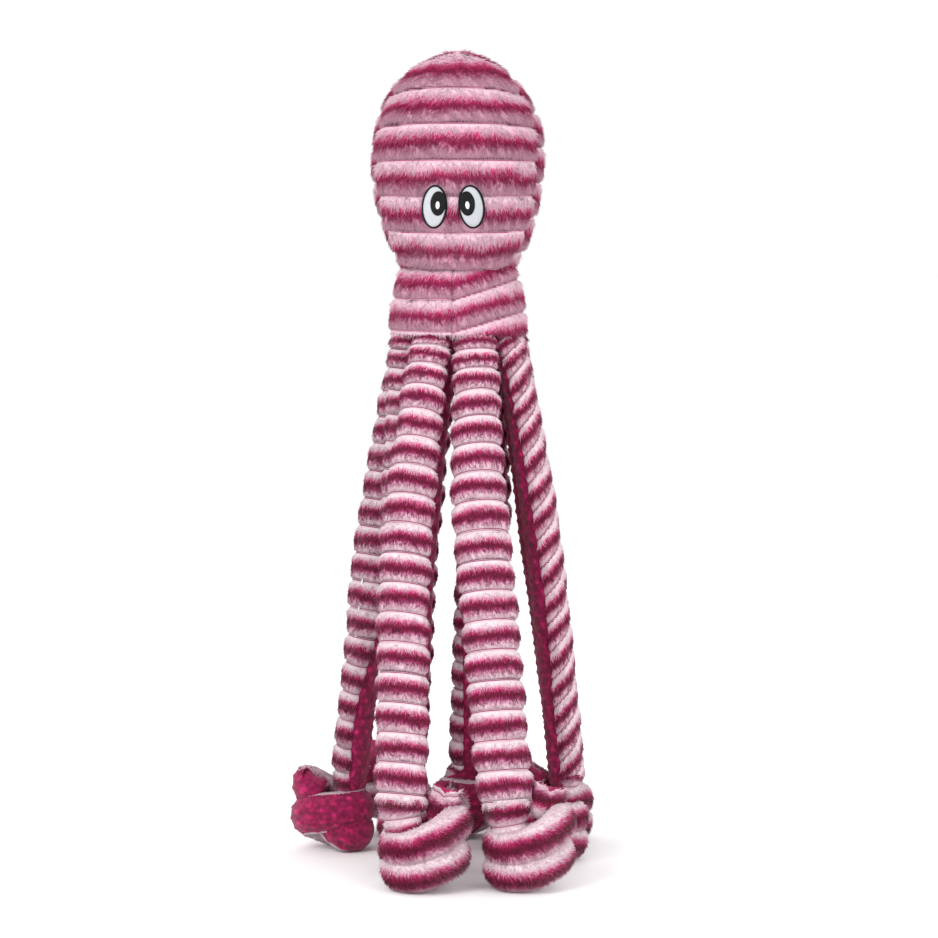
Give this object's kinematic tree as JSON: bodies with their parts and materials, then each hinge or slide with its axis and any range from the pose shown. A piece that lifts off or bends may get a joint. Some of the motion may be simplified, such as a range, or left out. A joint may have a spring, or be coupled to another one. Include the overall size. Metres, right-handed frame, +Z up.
{
  "type": "plush octopus toy",
  "caption": "Upright plush octopus toy: egg-shaped ribbed head with embroidered eyes, flared collar, and long two-faced fabric legs that end in overhand knots.",
  "frame": {"origin": "on the floor, at the middle of the toy's outer box", "axes": "+Z up to the crown, -Y the face"},
  "size_m": [0.236, 0.264, 0.63],
  "materials": {
    "plush": "ribbed tie-dyed plush with a pile of about 5 mm",
    "lining": "magenta fleece with raised dots",
    "stuffing": "loose polyester fibre",
    "squeaker": "soft moulded vinyl",
    "reed": "moulded",
    "white_thread": "satin-stitched thread",
    "black_thread": "satin-stitched thread",
    "film": "crinkled polyester film"
  },
  "bodies": {
    "body": {"head_front": "plush", "head_back": "plush", "head_stuffing": "stuffing", "squeaker_bulb": "squeaker", "squeaker_reed": "reed", "eye_whites": "white_thread", "eye_outlines": "black_thread", "eye_pupils": "black_thread", "eye_glints": "white_thread", "collar_left": "plush", "collar_right": "plush", "base_disc": "lining"},
    "front_left_upper_leg": {"front_left_upper_plush": "plush", "front_left_upper_lining": "lining"},
    "front_left_lower_leg": {"front_left_lower_plush": "plush", "front_left_lower_lining": "lining", "front_left_crinkle_film": "film", "front_left_knot": "plush"},
    "front_right_upper_leg": {"front_right_upper_plush": "plush", "front_right_upper_lining": "lining"},
    "front_right_lower_leg": {"front_right_lower_plush": "plush", "front_right_lower_lining": "lining", "front_right_crinkle_film": "film", "front_right_knot": "plush"},
    "right_upper_leg": {"right_upper_plush": "plush", "right_upper_lining": "lining"},
    "right_lower_leg": {"right_lower_plush": "plush", "right_lower_lining": "lining", "right_crinkle_film": "film", "right_knot": "plush"},
    "rear_right_upper_leg": {"rear_right_upper_plush": "plush", "rear_right_upper_lining": "lining"},
    "rear_right_lower_leg": {"rear_right_lower_plush": "plush", "rear_right_lower_lining": "lining", "rear_right_crinkle_film": "film", "rear_right_knot": "plush"},
    "rear_upper_leg": {"rear_upper_plush": "plush", "rear_upper_lining": "lining"},
    "rear_lower_leg": {"rear_lower_plush": "plush", "rear_lower_lining": "lining", "rear_crinkle_film": "film", "rear_knot": "plush"},
    "rear_left_upper_leg": {"rear_left_upper_plush": "plush", "rear_left_upper_lining": "lining"},
    "rear_left_lower_leg": {"rear_left_lower_plush": "plush", "rear_left_lower_lining": "lining", "rear_left_crinkle_film": "film", "rear_left_knot": "plush"},
    "left_upper_leg": {"left_upper_plush": "plush", "left_upper_lining": "lining"},
    "left_lower_leg": {"left_lower_plush": "plush", "left_lower_lining": "lining", "left_crinkle_film": "film", "left_knot": "plush"},
    "inner_left_upper_leg": {"inner_left_upper_plush": "plush", "inner_left_upper_lining": "lining"},
    "inner_left_lower_leg": {"inner_left_lower_plush": "plush", "inner_left_lower_lining": "lining", "inner_left_crinkle_film": "film", "inner_left_knot": "plush"}
  },
  "joints": [
    {"name": "front_left_hip", "type": "hinge", "parent": "body", "child": "front_left_upper_leg", "pos_m": [-0.00305, -0.04981, 0.4154], "axis": [-0.9239, 0.3827, 0], "range_deg": [0, 85]},
    {"name": "front_left_knee", "type": "hinge", "parent": "front_left_upper_leg", "child": "front_left_lower_leg", "pos_m": [-0.02165, -0.08193, 0.245], "axis": [-0.9239, 0.3827, 0], "range_deg": [0, 70]},
    {"name": "front_right_hip", "type": "hinge", "parent": "body", "child": "front_right_upper_leg", "pos_m": [0.03905, -0.04981, 0.4154], "axis": [-0.9239, -0.3827, 0], "range_deg": [0, 85]},
    {"name": "front_right_knee", "type": "hinge", "parent": "front_right_upper_leg", "child": "front_right_lower_leg", "pos_m": [0.04865, -0.07901, 0.245], "axis": [-0.9239, -0.3827, 0], "range_deg": [0, 70]},
    {"name": "right_hip", "type": "hinge", "parent": "body", "child": "right_upper_leg", "pos_m": [0.07039, -0.01546, 0.4154], "axis": [0, -1, 0], "range_deg": [0, 85]},
    {"name": "right_knee", "type": "hinge", "parent": "right_upper_leg", "child": "right_lower_leg", "pos_m": [0.09995, 0.00132, 0.245], "axis": [0, -1, 0], "range_deg": [0, 70]},
    {"name": "rear_right_hip", "type": "hinge", "parent": "body", "child": "rear_right_upper_leg", "pos_m": [0.06668, 0.02641, 0.4154], "axis": [0.7071, -0.7071, 0], "range_deg": [0, 85]},
    {"name": "rear_right_knee", "type": "hinge", "parent": "rear_right_upper_leg", "child": "rear_right_lower_leg", "pos_m": [0.08967, 0.06608, 0.245], "axis": [0.7071, -0.7071, 0], "range_deg": [0, 70]},
    {"name": "rear_hip", "type": "hinge", "parent": "body", "child": "rear_upper_leg", "pos_m": [0.03446, 0.05339, 0.4154], "axis": [1, 0, 0], "range_deg": [0, 85]},
    {"name": "rear_knee", "type": "hinge", "parent": "rear_upper_leg", "child": "rear_lower_leg", "pos_m": [0.03239, 0.08463, 0.245], "axis": [1, 0, 0], "range_deg": [0, 70]},
    {"name": "rear_left_hip", "type": "hinge", "parent": "body", "child": "rear_left_upper_leg", "pos_m": [-0.0045, 0.05119, 0.4154], "axis": [0.866, 0.5, 0], "range_deg": [0, 85]},
    {"name": "rear_left_knee", "type": "hinge", "parent": "rear_left_upper_leg", "child": "rear_left_lower_leg", "pos_m": [-0.02921, 0.08116, 0.245], "axis": [0.866, 0.5, 0], "range_deg": [0, 70]},
    {"name": "left_hip", "type": "hinge", "parent": "body", "child": "left_upper_leg", "pos_m": [-0.03281, 0.02205, 0.4154], "axis": [0.3827, 0.9239, 0], "range_deg": [0, 85]},
    {"name": "left_knee", "type": "hinge", "parent": "left_upper_leg", "child": "left_lower_leg", "pos_m": [-0.06354, 0.03514, 0.245], "axis": [0.3827, 0.9239, 0], "range_deg": [0, 70]},
    {"name": "inner_left_hip", "type": "hinge", "parent": "body", "child": "inner_left_upper_leg", "pos_m": [-0.03281, -0.02005, 0.4154], "axis": [-0.3827, 0.9239, 0], "range_deg": [0, 85]},
    {"name": "inner_left_knee", "type": "hinge", "parent": "inner_left_upper_leg", "child": "inner_left_lower_leg", "pos_m": [-0.03865, -0.02731, 0.245], "axis": [-0.3827, 0.9239, 0], "range_deg": [0, 70]}
  ]
}
